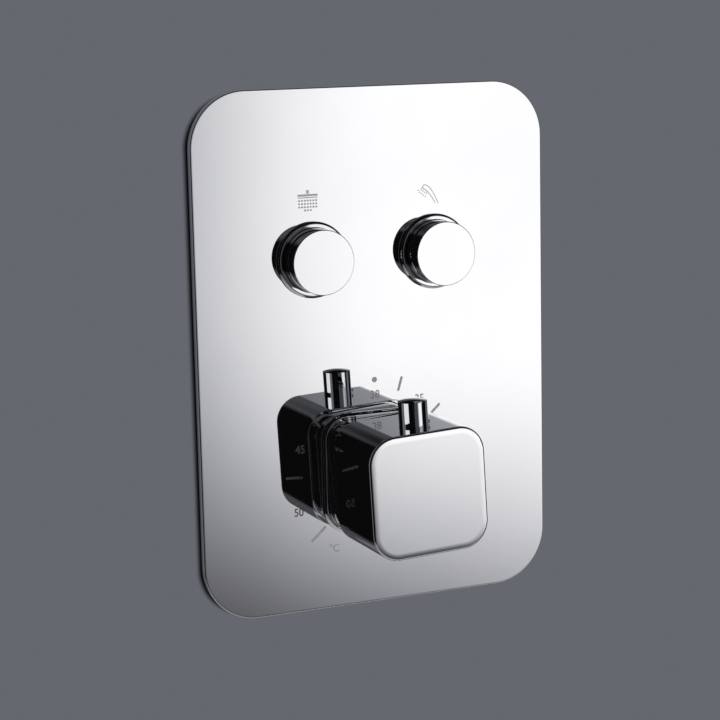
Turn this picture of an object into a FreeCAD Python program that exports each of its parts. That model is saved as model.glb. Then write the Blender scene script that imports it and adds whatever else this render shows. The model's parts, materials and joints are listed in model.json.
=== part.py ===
"""Concealed thermostatic shower valve with two push buttons and a square temperature handle.

Frame: +Z up, +X to the right as seen from the room, -Y out of the wall towards the room.
The origin is the middle of the cover plate's back, on the finished wall surface.
Lengths are millimetres, angles degrees.  Places along Y are written from the wall surface:
negative in the room, positive inside the wall.
"""
import os
import re

import FreeCAD
import Part
import Sketcher
from FreeCAD import Placement, Rotation, Vector

# ----------------------------------------------------------------------------- driving sizes
SIZES = {
    # cover plate and its foam gasket
    "plate_width": 155.0,
    "plate_height": 215.0,
    "plate_thick": 3.0,
    "plate_corner": 23.0,
    "plate_edge_round": 0.5,
    "gasket_thick": 2.0,
    "gasket_inset": 1.5,
    # where the three controls stand on the plate
    "button_spacing": 54.0,
    "button_rise": 38.6,
    "handle_drop": 50.8,
    # clearances
    "slide_gap": 0.25,
    "shaft_gap": 0.05,
    "seat_gap": 0.1,
    "body_gap": 0.3,
    # push buttons
    "cap_radius": 13.15,
    "cap_reach": 12.2,
    "cap_length": 15.0,
    "cap_wall": 1.5,
    "cap_edge_round": 0.3,
    "cap_boss_radius": 5.5,
    "cap_boss_length": 10.0,
    "collar_radius": 15.55,
    "collar_rise": 1.9,
    "collar_edge_round": 1.2,
    "collar_tube_wall": 1.2,
    "collar_tube_length": 15.0,
    "seal_thick": 1.7,
    "seal_width": 2.2,
    # temperature handle
    "handle_side": 50.0,
    "handle_corner": 11.0,
    "handle_reach": 50.2,
    "handle_length": 36.4,
    "handle_wall": 3.0,
    "handle_edge_round": 0.9,
    "handle_rear_round": 0.3,
    "handle_rest_turn": 2.7,
    "skirt_side": 46.1,
    "skirt_corner": 9.2,
    "skirt_wall": 2.5,
    "skirt_lap": 5.0,
    "skirt_gap": 0.4,
    "base_side": 50.1,
    "base_corner": 11.0,
    "base_rise": 1.9,
    "base_edge_round": 1.4,
    "base_tube_radius": 19.5,
    "base_tube_wall": 2.4,
    "base_tube_length": 15.0,
    "boss_radius": 11.5,
    "boss_length": 23.0,
    "hub_radius": 8.0,
    "hub_length": 19.0,
    "hub_end_wall": 1.5,
    "grub_radius": 2.5,
    "grub_length": 6.0,
    "grub_socket_radius": 1.3,
    "grub_socket_depth": 2.5,
    "grub_set_back": 7.0,
    "plug_radius": 2.9,
    "plug_sink": 0.3,
    # override button on top of the handle
    "peg_radius": 5.9,
    "peg_set_back": 11.45,
    "peg_rise": 11.5,
    "peg_dome": 0.8,
    "peg_foot": 16.4,
    "peg_shoulder_width": 1.3,
    "peg_shoulder_thick": 1.5,
    "peg_stem_radius": 2.4,
    "peg_stem_length": 5.1,
    "peg_spring_radius": 3.4,
    "peg_spring_turns": 2.5,
    "peg_pin_radius": 0.7,
    "peg_pin_length": 2.9,
    "peg_pin_proud": 0.9,
    "peg_pin_lift": 1.0,
    "arm_width": 5.0,
    "arm_thick": 2.0,
    "arm_end": 17.4,
    # temperature stop ring
    "stop_ring_radius": 20.1,
    "stop_ring_thick": 2.0,
    "stop_ring_stand": 4.0,
    "stop_lug_thick": 1.3,
    "stop_lug_length": 7.5,
    "stop_lug_width": 4.0,
    "stop_lug_set_in": 0.15,
    "stop_lug_turn": 16.0,
    # thermostatic cartridge
    "spindle_radius": 4.5,
    "spindle_front": 46.5,
    "spindle_collar_radius": 7.0,
    "spindle_collar_thick": 2.0,
    "spindle_screw_radius": 5.0,
    "spindle_screw_length": 10.0,
    "nose_radius": 8.0,
    "nose_front": 14.0,
    "nose_back": 8.0,
    "shoulder_radius": 14.0,
    "body_front": 16.0,
    "counterbore_depth": 10.0,
    "flange_thick": 4.0,
    "thermo_flange_radius": 20.9,
    "thermo_radius": 17.0,
    "thermo_bore_radius": 14.2,
    "thermo_back": 62.0,
    "thermo_face_wall": 0.5,
    "thermo_seal_stand": 3.0,
    "window_width": 9.0,
    "window_length": 7.0,
    "hot_window": 38.5,
    "cold_window": 49.5,
    "ring_cord": 0.9,
    "spindle_cord": 0.6,
    "carriage_front": 26.5,
    "carriage_length": 6.0,
    "carriage_key": 3.0,
    "carriage_key_height": 0.5,
    "carriage_play": 2.5,
    "wax_radius": 4.2,
    "wax_front": 35.5,
    "wax_length": 26.0,
    "wax_flange_radius": 8.0,
    "wax_flange_front": 38.5,
    "wax_flange_thick": 2.0,
    "shuttle_length": 7.0,
    "shuttle_web_thick": 2.0,
    "shuttle_wall": 1.5,
    "shuttle_hole_stand": 5.0,
    "shuttle_hole_radius": 1.9,
    "end_cap_thick": 3.5,
    "end_cap_hole_stand": 4.0,
    "overload_spring_radius": 7.0,
    "overload_spring_turns": 3.0,
    "return_spring_set_in": 3.0,
    "return_spring_turns": 5.0,
    "spring_wire_radius": 0.5,
    "spring_runs": 16.0,
    "peg_wire_radius": 0.3,
    # nuts that hold the cartridges
    "nut_head_thick": 4.0,
    "nut_spigot_length": 6.0,
    "thermo_nut_flats": 46.0,
    "stop_nut_flats": 30.0,
    # shut-off cartridges behind the buttons
    "stop_nose_radius": 8.0,
    "stop_nose_front": 1.0,
    "stop_flange_radius": 13.7,
    "stop_radius": 11.0,
    "stop_bore_radius": 8.5,
    "stop_back": 54.0,
    "stop_window": 45.5,
    "stop_port_radius": 5.5,
    "stop_port_wall": 3.0,
    "rod_radius": 3.0,
    "spring_pocket_radius": 6.0,
    "spring_pocket_depth": 12.0,
    "piston_front": 39.4,
    "piston_length": 5.0,
    "piston_seal_thick": 1.5,
    "piston_seal_bore": 1.8,
    "button_spring_radius": 4.2,
    "button_spring_turns": 6.0,
    "stop_shoulder": 2.0,
    "stop_window_radius": 4.5,
    "stop_seal_stand": 4.0,
    "stop_seal_set_in": 2.0,
    # brass body
    "thermo_boss_radius": 26.0,
    "stop_boss_radius": 17.0,
    "body_wall": 2.0,
    "manifold_wall": 5.0,
    "manifold_half": 11.0,
    "channel_radius": 6.0,
    "cross_channel_radius": 5.5,
    "feed_ring_depth": 2.5,
    "channel_set_back": 2.0,
    "port_depth": 44.0,
    "port_boss_radius": 14.0,
    "union_wall": 3.6,
    "union_seat": 3.0,
    "union_spigot_length": 8.0,
    "port_reach": 78.0,
    "outlet_reach": 92.0,
    "thread_radius": 9.3,
    "thread_length": 16.0,
    "feed_radius": 3.0,
    "check_bore_radius": 7.5,
    "check_bore_end": 42.0,
    "outlet_bore_radius": 6.5,
    # check valves and strainers in the inlets
    "check_guide_thick": 4.0,
    "check_wall": 1.9,
    "check_seat_radius": 3.3,
    "check_seat_thick": 2.0,
    "check_disc_radius": 4.8,
    "check_disc_thick": 1.6,
    "check_stem_radius": 1.2,
    "check_travel": 2.0,
    "check_hole_stand": 3.4,
    "check_spring_radius": 2.6,
    "check_spring_turns": 4.0,
    "strainer_radius": 8.4,
    "strainer_thick": 1.4,
    "strainer_mesh_radius": 6.6,
    "strainer_hole_radius": 1.0,
    "strainer_hole_pitch": 2.6,
    # bracket behind the body
    "bracket_width": 130.0,
    "bracket_height": 52.0,
    "bracket_centre": 4.0,
    "bracket_thick": 2.0,
    "bracket_corner": 6.0,
    "bracket_hole_radius": 3.25,
    "bracket_side_margin": 9.0,
    "bracket_end_margin": 8.0,
    "screw_radius": 2.4,
    "screw_head_radius": 4.5,
    "screw_head_thick": 2.6,
    "screw_length": 8.0,
    "screw_spacing": 28.0,
    "screw_boss_wall": 2.0,
    "screw_boss_length": 13.0,
    "screw_drive_radius": 1.4,
    "screw_drive_depth": 1.6,
}

# Places and sizes that follow from the driving ones.
DERIVED = {
    "plate_front": "-(gasket_thick + plate_thick)",
    "plate_back": "-gasket_thick",
    "button_offset": "button_spacing / 2",
    "cap_front": "plate_front - cap_reach",
    "cap_back": "cap_front + cap_length",
    "collar_front": "plate_front - collar_rise",
    "collar_bore": "cap_radius + slide_gap",
    "collar_tube_radius": "collar_bore + collar_tube_wall",
    "collar_back": "plate_front + collar_tube_length",
    "handle_front": "plate_front - handle_reach",
    "handle_back": "handle_front + handle_length",
    "cavity_side": "handle_side - 2 * handle_wall",
    "cavity_corner": "handle_corner - handle_wall",
    "cavity_front": "handle_front + handle_wall",
    "base_front": "plate_front - base_rise",
    "base_back": "plate_front + base_tube_length",
    "base_bore": "base_tube_radius - base_tube_wall",
    "skirt_back": "base_front - skirt_gap",
    "skirt_inside": "skirt_side - 2 * skirt_wall",
    "boss_back": "cavity_front + boss_length",
    "hub_bore_front": "boss_back - hub_length - seat_gap",
    "grub_place": "boss_back - grub_set_back",
    "peg_place": "handle_front + peg_set_back",
    "peg_top": "handle_side / 2 + peg_rise",
    "peg_stem_end": "peg_foot - peg_stem_length",
    "stop_ring_front": "plate_front - stop_ring_stand - stop_ring_thick",
    "lug_inside": "stop_ring_radius - stop_lug_thick",
    "flange_front": "body_front + counterbore_depth - flange_thick",
    "flange_back": "body_front + counterbore_depth",
    "collar_place": "flange_front - spindle_collar_thick",
    "shuttle_front": "wax_flange_front + wax_flange_thick",
    "shuttle_radius": "thermo_bore_radius - seat_gap",
    "nut_front": "body_front - nut_head_thick",
    "spigot_front": "nut_front - nut_spigot_length",
    "channel_depth": "thermo_back + channel_set_back",
    "manifold_front": "channel_depth - channel_radius - manifold_wall",
    "body_back": "channel_depth + channel_radius + body_wall",
    "thread_end": "port_reach - thread_length",
    "strainer_end": "thread_end - strainer_thick",
    "check_wall_end": "strainer_end - check_seat_thick",
    "union_spigot_radius": "port_boss_radius - union_wall",
    "outlet_stub": "button_rise + stop_boss_radius + union_seat",
    "inlet_stub": "thermo_boss_radius + union_seat",
    "bracket_back": "body_back + bracket_thick",
    "bracket_hole_width": "bracket_width - 2 * bracket_side_margin",
    "bracket_hole_height": "bracket_height - 2 * bracket_end_margin",
}

document = FreeCAD.newDocument("shower_valve")
sheet = document.addObject("Spreadsheet::Sheet", "Sizes")
for row, (alias, value) in enumerate(SIZES.items(), start=1):
    sheet.set(f"A{row}", alias)
    sheet.set(f"B{row}", str(value))
    sheet.setAlias(f"B{row}", alias)
document.recompute()

nodes = []


# ----------------------------------------------------------------------------- small helpers
def expression(text):
    """Spell a size out in sheet cells, so that a property can be bound to it."""
    def spelled(match):
        word = match.group(0)
        if word in DERIVED:
            return "(" + expression(DERIVED[word]) + ")"
        return "Sizes." + word if word in SIZES else word
    return re.sub(r"[a-z][a-z_]*", spelled, str(text))


def number(text):
    """The present value of a size, for shapes that are set in code."""
    values = dict(SIZES)
    pending = str(text)
    while any(word in DERIVED for word in re.findall(r"[a-z][a-z_]*", pending)):
        pending = re.sub(r"[a-z][a-z_]*",
                         lambda found: "(" + DERIVED[found.group(0)] + ")"
                         if found.group(0) in DERIVED else found.group(0), pending)
    for word in sorted(values, key=len, reverse=True):
        pending = re.sub(rf"\b{word}\b", repr(float(getattr(sheet, word))), pending)
    return FreeCAD.Units.Quantity(pending).Value


def bind(thing, **sizes):
    """Tie properties to sizes; a double underscore stands for a dot."""
    for prop, text in sizes.items():
        thing.setExpression(prop.replace("__", "."), expression(text))
    return thing


def node(label, thing, x="0", z="0", turn="0"):
    """Name a finished piece and stand it at its place, turned about the Y axis."""
    thing.Label = label
    thing.Placement = Placement(Vector(0, 0, 0), Rotation(Vector(0, 1, 0), 1.0))
    bind(thing, Placement__Base__x=x, Placement__Base__z=z, Placement__Rotation__Angle=turn)
    nodes.append(thing)
    return thing


FULL_TURN = 360
MITRED = 1  # how a swept wire turns its corners
ALONG = {
    "x": Rotation(Vector(0, 1, 0), 90),
    "y": Rotation(Vector(1, 0, 0), -90),
    "z": Rotation(),
}


def lay(thing, along, start, first, second):
    """Lay a primitive along an axis from start; first and second are its other two places."""
    thing.Placement = Placement(Vector(0, 0, 0), ALONG[along])
    order = {"x": ("x", "y", "z"), "y": ("y", "x", "z"), "z": ("z", "x", "y")}[along]
    for letter, text in zip(order, (start, first, second)):
        thing.setExpression(f"Placement.Base.{letter}", expression(text))
    return thing


def rod(radius, start, end, first="0", second="0", along="y"):
    """A round bar from start to end along an axis."""
    bar = document.addObject("Part::Cylinder", "Rod")
    bind(bar, Radius=radius, Height=f"({end}) - ({start})")
    return lay(bar, along, start, first, second)


def hexagon(flats, start, end):
    """A hexagonal bar along Y, given its size across the flats."""
    bar = document.addObject("Part::Prism", "Hexagon")
    bar.Polygon = 6
    bind(bar, Circumradius=f"({flats}) / sqrt(3)", Height=f"({end}) - ({start})")
    return lay(bar, "y", start, "0", "0")


def block(low, high):
    """A box between two corners, each a tuple of three sizes."""
    box = document.addObject("Part::Box", "Block")
    bind(box, Length=f"({high[0]}) - ({low[0]})", Width=f"({high[1]}) - ({low[1]})",
         Height=f"({high[2]}) - ({low[2]})")
    return bind(box, Placement__Base__x=low[0], Placement__Base__y=low[1],
                Placement__Base__z=low[2])


def torus(radius, cord, place):
    """A ring of round cord about the Y axis."""
    ring = document.addObject("Part::Torus", "Torus")
    bind(ring, Radius1=radius, Radius2=cord)
    return lay(ring, "y", place, "0", "0")


def fuse(*pieces):
    whole = document.addObject("Part::MultiFuse", "Fusion")
    whole.Shapes = list(pieces)
    whole.Refine = True
    return whole


def cut(piece, *tools):
    rest = document.addObject("Part::Cut", "Cut")
    rest.Base = piece
    rest.Tool = tools[0] if len(tools) == 1 else fuse(*tools)
    rest.Refine = True
    return rest


def group(*pieces):
    """Separate solids in one node."""
    together = document.addObject("Part::Compound", "Group")
    together.Links = list(pieces)
    return together


def tube(outer, inner, start, end):
    return cut(rod(outer, start, end), rod(inner, start, end))


def seal_grooves(radius, cord, places):
    """Square grooves in a round part for rings of round cord."""
    half = f"({cord} + seat_gap)"
    return [tube(f"{radius} + 1", f"{radius} - 2 * {cord}", f"{place} - {half}",
                 f"{place} + {half}") for place in places]


def seal_rings(radius, cord, places):
    """The rings that lie in those grooves."""
    return [torus(f"{radius} - {cord}", cord, place) for place in places]


def coil(radius, start, end, turns, along="y", x=0.0, z=0.0, wire="spring_wire_radius"):
    """A helical spring of round wire between two places along an axis, in short straight runs."""
    wire_radius = number(wire)
    low = number(start) + wire_radius
    length = number(end) - wire_radius - low
    runs = round(number(turns) * number("spring_runs"))
    spoke = Vector(number(radius), 0, 0)
    points = []
    for step in range(runs + 1):
        spin = Rotation(Vector(0, 0, 1), FULL_TURN * number(turns) * step / runs)
        points.append(spin.multVec(spoke) + Vector(0, 0, length * step / runs))
    section = Part.Wire(Part.makeCircle(wire_radius, points[0], points[1] - points[0]))
    solid = Part.makePolygon(points).makePipeShell([section], True, False, MITRED)
    spring = document.addObject("Part::Feature", "Coil")
    places = {"x": Vector(low, x, z), "y": Vector(x, low, z), "z": Vector(x, z, low)}
    solid.Placement = Placement(places[along], ALONG[along])
    spring.Shape = Part.Compound([solid])
    return spring


# ----------------------------------------------------------------------------- sketched bodies
def new_body(name):
    return document.addObject("PartDesign::Body", name)


def new_sketch(body, place):
    """A sketch parallel to the wall, at a place along Y; its own normal looks into the room."""
    plane = [item for item in body.Origin.OriginFeatures if item.Role == "XZ_Plane"][0]
    sketch = body.newObject("Sketcher::SketchObject", "Outline")
    sketch.AttachmentSupport = (plane, [""])
    sketch.MapMode = "FlatFace"
    return bind(sketch, AttachmentOffset__Base__z=f"-({place})")


def draw_circle(sketch, radius, x="0", z="0"):
    circle = sketch.addGeometry(Part.Circle(Vector(number(x), number(z), 0), Vector(0, 0, 1),
                                            number(radius)))
    name = f"circle{circle}"
    sketch.addConstraint(Sketcher.Constraint("Radius", circle, number(radius)))
    sketch.renameConstraint(sketch.ConstraintCount - 1, name + "_radius")
    bind(sketch, **{f"Constraints__{name}_radius": radius})
    for kind, place in (("DistanceX", x), ("DistanceY", z)):
        sketch.addConstraint(Sketcher.Constraint(kind, -1, 1, circle, 3, number(place)))
        sketch.renameConstraint(sketch.ConstraintCount - 1, f"{name}_{kind}")
        bind(sketch, **{f"Constraints__{name}_{kind}": place})


def draw_rounded_square(sketch, width, height, corner):
    """A rectangle with round corners, centred on the sketch's origin."""
    half_w = number(width) / 2
    half_h = number(height) / 2
    radius = number(corner)
    right = half_w - radius
    top = half_h - radius
    lines = [((-right, half_h), (right, half_h)), ((half_w, top), (half_w, -top)),
             ((right, -half_h), (-right, -half_h)), ((-half_w, -top), (-half_w, top))]
    for start, end in lines:
        sketch.addGeometry(Part.LineSegment(Vector(*start, 0), Vector(*end, 0)))
    quarter = FreeCAD.Units.Quantity("90 deg").getValueAs("rad").Value
    for centre, first in (((right, top), 0), ((right, -top), 3), ((-right, -top), 2),
                          ((-right, top), 1)):
        circle = Part.Circle(Vector(*centre, 0), Vector(0, 0, 1), radius)
        sketch.addGeometry(Part.ArcOfCircle(circle, first * quarter, (first + 1) * quarter))
    for line, arc in ((0, 4), (1, 5), (2, 6), (3, 7)):
        following = (line + 1) % 4
        sketch.addConstraint(Sketcher.Constraint("Tangent", line, 2, arc, 2))
        sketch.addConstraint(Sketcher.Constraint("Tangent", arc, 1, following, 1))
    for line, kind in ((0, "Horizontal"), (1, "Vertical"), (2, "Horizontal"), (3, "Vertical")):
        sketch.addConstraint(Sketcher.Constraint(kind, line))
    for arc in (5, 6, 7):
        sketch.addConstraint(Sketcher.Constraint("Equal", 4, arc))
    sketch.addConstraint(Sketcher.Constraint("Symmetric", 0, 1, 2, 1, -1, 1))
    named = (("corner", Sketcher.Constraint("Radius", 4, radius), corner),
             ("wide", Sketcher.Constraint("DistanceX", 3, 1, 1, 1, 2 * half_w), width),
             ("high", Sketcher.Constraint("DistanceY", 2, 1, 0, 2, 2 * half_h), height))
    for name, constraint, text in named:
        sketch.addConstraint(constraint)
        sketch.renameConstraint(sketch.ConstraintCount - 1, name)
        bind(sketch, **{"Constraints__" + name: text})


def pad(body, start, end, draw, *sizes):
    """Add material between two places along Y."""
    sketch = new_sketch(body, end)
    draw(sketch, *sizes)
    feature = body.newObject("PartDesign::Pad", "Pad")
    feature.Profile = sketch
    return bind(feature, Length=f"({end}) - ({start})")


def pocket(body, start, end, draw, *sizes):
    """Take material away between two places along Y."""
    sketch = new_sketch(body, start)
    draw(sketch, *sizes)
    feature = body.newObject("PartDesign::Pocket", "Pocket")
    feature.Profile = sketch
    return bind(feature, Length=f"({end}) - ({start})")


def round_edges(body, place, least, most, radius):
    """Round the edges that lie in one plane along Y, between two distances from the axis."""
    document.recompute()
    tip = body.Tip
    level = number(place)
    chosen = []
    for index, edge in enumerate(tip.Shape.Edges, start=1):
        box = edge.BoundBox
        flat = abs(box.YMin - level) < 1e-4 and abs(box.YMax - level) < 1e-4
        middle = edge.valueAt((edge.FirstParameter + edge.LastParameter) / 2)
        reach = (middle.x ** 2 + middle.z ** 2) ** 0.5
        if flat and number(least) < reach < number(most):
            chosen.append(f"Edge{index}")
    fillet = body.newObject("PartDesign::Fillet", "Round")
    fillet.Base = (tip, chosen)
    return bind(fillet, Radius=radius)


# ----------------------------------------------------------------------------- cover plate
def make_front_plate():
    body = new_body("FrontPlate")
    pad(body, "plate_front", "plate_back", draw_rounded_square,
        "plate_width", "plate_height", "plate_corner")
    round_edges(body, "plate_front", "0", "plate_width + plate_height", "plate_edge_round")
    for side in ("-button_offset", "button_offset"):
        pocket(body, "plate_front", "plate_back", draw_circle,
               "collar_tube_radius + slide_gap", side, "button_rise")
    pocket(body, "plate_front", "plate_back", draw_circle,
           "base_tube_radius + slide_gap", "0", "-handle_drop")
    node("front_plate", body)


def make_plate_gasket():
    body = new_body("PlateGasket")
    pad(body, "plate_back", "0", draw_rounded_square, "plate_width - 2 * gasket_inset",
        "plate_height - 2 * gasket_inset", "plate_corner - gasket_inset")
    for side in ("-button_offset", "button_offset"):
        pocket(body, "plate_back", "0", draw_circle,
               "collar_tube_radius + seal_width + slide_gap", side, "button_rise")
    pocket(body, "plate_back", "0", draw_circle,
           "base_tube_radius + seal_width + slide_gap", "0", "-handle_drop")
    node("plate_gasket", body)


# ----------------------------------------------------------------------------- push buttons
def make_button(side, x):
    """One push button with its collar and the shut-off cartridge that it works."""
    at = {"x": x, "z": "button_rise"}

    cap = new_body("ButtonCap")
    pad(cap, "cap_front", "cap_back", draw_circle, "cap_radius")
    round_edges(cap, "cap_front", "0", "cap_radius + 1", "cap_edge_round")
    pocket(cap, "cap_front + cap_wall", "cap_back", draw_circle, "cap_radius - cap_wall")
    pad(cap, "cap_front + cap_wall", "cap_front + cap_wall + cap_boss_length", draw_circle,
        "cap_boss_radius")
    pocket(cap, "cap_front + 2 * cap_wall", "cap_back", draw_circle, "rod_radius")
    node(f"{side}_button_cap", cap, **at)

    collar = new_body("ButtonCollar")
    pad(collar, "collar_front", "plate_front", draw_circle, "collar_radius")
    round_edges(collar, "collar_front", "0", "collar_radius + 1", "collar_edge_round")
    pad(collar, "plate_front", "collar_back", draw_circle, "collar_tube_radius")
    pocket(collar, "collar_front", "collar_back", draw_circle, "collar_bore")
    node(f"{side}_button_collar", collar, **at)

    seal = tube("collar_tube_radius + seal_width", "collar_tube_radius + shaft_gap",
                "plate_back", "plate_back + seal_thick")
    node(f"{side}_collar_seal", seal, **at)

    push_rod = fuse(rod("rod_radius", "cap_front + 2 * cap_wall", "piston_front + piston_length"),
                    rod("stop_bore_radius - seat_gap", "piston_front",
                        "piston_front + piston_length"))
    node(f"{side}_push_rod", push_rod, **at)
    washer = tube("stop_bore_radius - 2 * seat_gap", "piston_seal_bore",
                  "piston_front + piston_length",
                  "piston_front + piston_length + piston_seal_thick")
    node(f"{side}_piston_seal", washer, **at)

    spring = coil("button_spring_radius", "cap_front + cap_wall + cap_boss_length",
                  "stop_nose_front + spring_pocket_depth", "button_spring_turns")
    node(f"{side}_button_spring", spring, **at)

    outside = fuse(rod("stop_nose_radius", "stop_nose_front", "flange_front"),
                   rod("stop_flange_radius", "flange_front", "flange_back"),
                   rod("stop_radius", "flange_back", "stop_back"))
    pocket_end = "stop_nose_front + spring_pocket_depth"
    inside = fuse(rod("spring_pocket_radius", "stop_nose_front", pocket_end),
                  rod("rod_radius + shaft_gap", "stop_nose_front", "piston_front"),
                  rod("stop_bore_radius", "flange_back + stop_shoulder",
                      "stop_back - stop_port_wall"))
    port = rod("stop_port_radius", "stop_back - stop_port_wall", "stop_back")
    window = rod("stop_window_radius", "0", "stop_radius + 1", "0", "stop_window", "z")
    ring_places = ("flange_back + stop_seal_stand", "stop_back - stop_seal_set_in")
    grooves = seal_grooves("stop_radius", "ring_cord", ring_places)
    node(f"{side}_cartridge_housing", cut(outside, inside, port, window, *grooves), **at)
    rings = seal_rings("stop_radius", "ring_cord", ring_places)
    node(f"{side}_cartridge_orings", group(*rings), **at)

    nut = fuse(rod("collar_bore - seat_gap", "spigot_front", "nut_front"),
               hexagon("stop_nut_flats", "nut_front", "body_front"),
               rod("stop_flange_radius + shaft_gap", "body_front", "flange_front"))
    node(f"{side}_cartridge_nut",
         cut(nut, rod("stop_nose_radius + seat_gap", "spigot_front", "flange_front")), **at)


# ----------------------------------------------------------------------------- handle
def on_handle(label, thing):
    return node(label, thing, z="-handle_drop", turn="-handle_rest_turn")


def make_handle():
    body = new_body("HandleBody")
    pad(body, "handle_front", "handle_back", draw_rounded_square,
        "handle_side", "handle_side", "handle_corner")
    reach = "handle_side"
    round_edges(body, "handle_front", "0", reach, "handle_edge_round")
    round_edges(body, "handle_back", "0", reach, "handle_rear_round")
    pocket(body, "cavity_front", "handle_back", draw_rounded_square,
           "cavity_side", "cavity_side", "cavity_corner")
    pad(body, "cavity_front", "boss_back", draw_circle, "boss_radius")
    pocket(body, "hub_bore_front", "boss_back", draw_circle, "hub_radius + shaft_gap")
    document.recompute()
    half = "handle_side / 2"
    peg_hole = rod("peg_radius + seat_gap", "boss_radius + 1", f"{half} + 1", "0",
                   "peg_place", "z")
    pin_slot = block(("0", "peg_place - peg_pin_radius - seat_gap", "boss_radius + 1"),
                     ("peg_radius + peg_pin_proud + seat_gap",
                      "peg_place + peg_pin_radius + seat_gap", f"{half} + 1"))
    stem_hole = rod("peg_stem_radius + seat_gap", "0", half, "0", "peg_place", "z")
    grub_hole = rod("grub_radius + shaft_gap", f"-({half})", "0", "0", "grub_place", "z")
    plug_hole = rod("plug_radius", f"-({half}) - 1", "-(cavity_side / 2)", "0",
                    "grub_place", "z")
    on_handle("handle_body", cut(body, peg_hole, pin_slot, stem_hole, grub_hole, plug_hole))

    skirt = new_body("HandleSkirt")
    pad(skirt, "handle_back", "skirt_back", draw_rounded_square,
        "skirt_side", "skirt_side", "skirt_corner")
    round_edges(skirt, "skirt_back", "0", "skirt_side", "handle_rear_round")
    lip = "cavity_side - 2 * seat_gap"
    pad(skirt, "handle_back - skirt_lap", "handle_back", draw_rounded_square,
        lip, lip, "cavity_corner - seat_gap")
    pocket(skirt, "handle_back - skirt_lap", "skirt_back", draw_rounded_square,
           "skirt_inside", "skirt_inside", "skirt_corner - skirt_wall")
    on_handle("handle_skirt", skirt)

    hub = cut(rod("hub_radius", "boss_back - hub_length", "boss_back"),
              rod("spindle_radius", "boss_back - hub_length + hub_end_wall", "boss_back"))
    on_handle("handle_hub", hub)

    grub_start = "-(hub_radius + seat_gap + grub_length)"
    grub = cut(rod("grub_radius", grub_start, "-(hub_radius + seat_gap)", "0", "grub_place", "z"),
               rod("grub_socket_radius", grub_start, f"{grub_start} + grub_socket_depth",
                   "0", "grub_place", "z"))
    on_handle("handle_grub_screw", grub)
    plug = rod("plug_radius - shaft_gap", f"-({half}) + plug_sink", "-(cavity_side / 2)", "0",
               "grub_place", "z")
    on_handle("handle_screw_plug", group(plug))


def make_override_button():
    """The round peg on top of the handle, pressed to turn past the 38 degree stop."""
    straight = "peg_top - peg_dome"
    shank = rod("peg_radius", "peg_foot", straight, "0", "peg_place", "z")
    wall = "cavity_side / 2 - seat_gap"
    shoulder = rod("peg_radius + peg_shoulder_width", f"{wall} - peg_shoulder_thick", wall,
                   "0", "peg_place", "z")
    dome_radius = "(peg_radius * peg_radius + peg_dome * peg_dome) / (2 * peg_dome)"
    ball = document.addObject("Part::Sphere", "Dome")
    bind(ball, Radius=dome_radius, Placement__Base__y="peg_place",
         Placement__Base__z=f"peg_top - {dome_radius}")
    core = rod("peg_radius", straight, "peg_top", "0", "peg_place", "z")
    dome = document.addObject("Part::Common", "DomeCap")
    dome.Base = ball
    dome.Tool = core
    stem = rod("peg_stem_radius", "peg_stem_end", "peg_foot", "0", "peg_place", "z")
    arm = block(("-arm_width / 2", "peg_place", "peg_foot"),
                ("arm_width / 2", "-arm_end", "peg_foot + arm_thick"))
    pin_level = "handle_side / 2 + peg_pin_lift + peg_pin_radius / 2"
    pin_hole = rod("peg_pin_radius", "peg_radius - peg_pin_length + peg_pin_proud",
                   "peg_radius + 1", "peg_place", pin_level, "x")
    on_handle("override_button", cut(fuse(shank, shoulder, dome, stem, arm), pin_hole))
    pin = rod("peg_pin_radius", "peg_radius - peg_pin_length + peg_pin_proud",
              "peg_radius + peg_pin_proud", "peg_place", pin_level, "x")
    on_handle("override_pin", group(pin))
    spring = coil("peg_spring_radius", "boss_radius + seat_gap", "peg_foot",
                  "peg_spring_turns", "z", 0.0, number("peg_place"), "peg_wire_radius")
    on_handle("override_spring", spring)


def make_base_ring():
    """The square ring that trims the plate round the handle."""
    ring = new_body("HandleBaseRing")
    pad(ring, "base_front", "plate_front", draw_rounded_square,
        "base_side", "base_side", "base_corner")
    round_edges(ring, "base_front", "0", "base_side", "base_edge_round")
    pad(ring, "plate_front", "base_back", draw_circle, "base_tube_radius")
    pocket(ring, "base_front", "base_back", draw_circle, "base_bore")
    node("handle_base_ring", ring, z="-handle_drop")
    seal = tube("base_tube_radius + seal_width", "base_tube_radius + shaft_gap",
                "plate_back", "plate_back + seal_thick")
    node("base_ring_seal", seal, z="-handle_drop")


# ----------------------------------------------------------------------------- thermostat
def make_stop_ring():
    disc = rod("stop_ring_radius", "stop_ring_front", "stop_ring_front + stop_ring_thick")
    lug = block(("-stop_lug_width / 2", "stop_ring_front - stop_lug_length", "lug_inside"),
                ("stop_lug_width / 2", "stop_ring_front + stop_ring_thick",
                 "stop_ring_radius - stop_lug_set_in"))
    hole = rod("nose_radius + shaft_gap", "stop_ring_front",
               "stop_ring_front + stop_ring_thick")
    node("stop_ring", cut(fuse(disc, lug), hole), z="-handle_drop",
         turn="-handle_rest_turn - stop_lug_turn")


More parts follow.
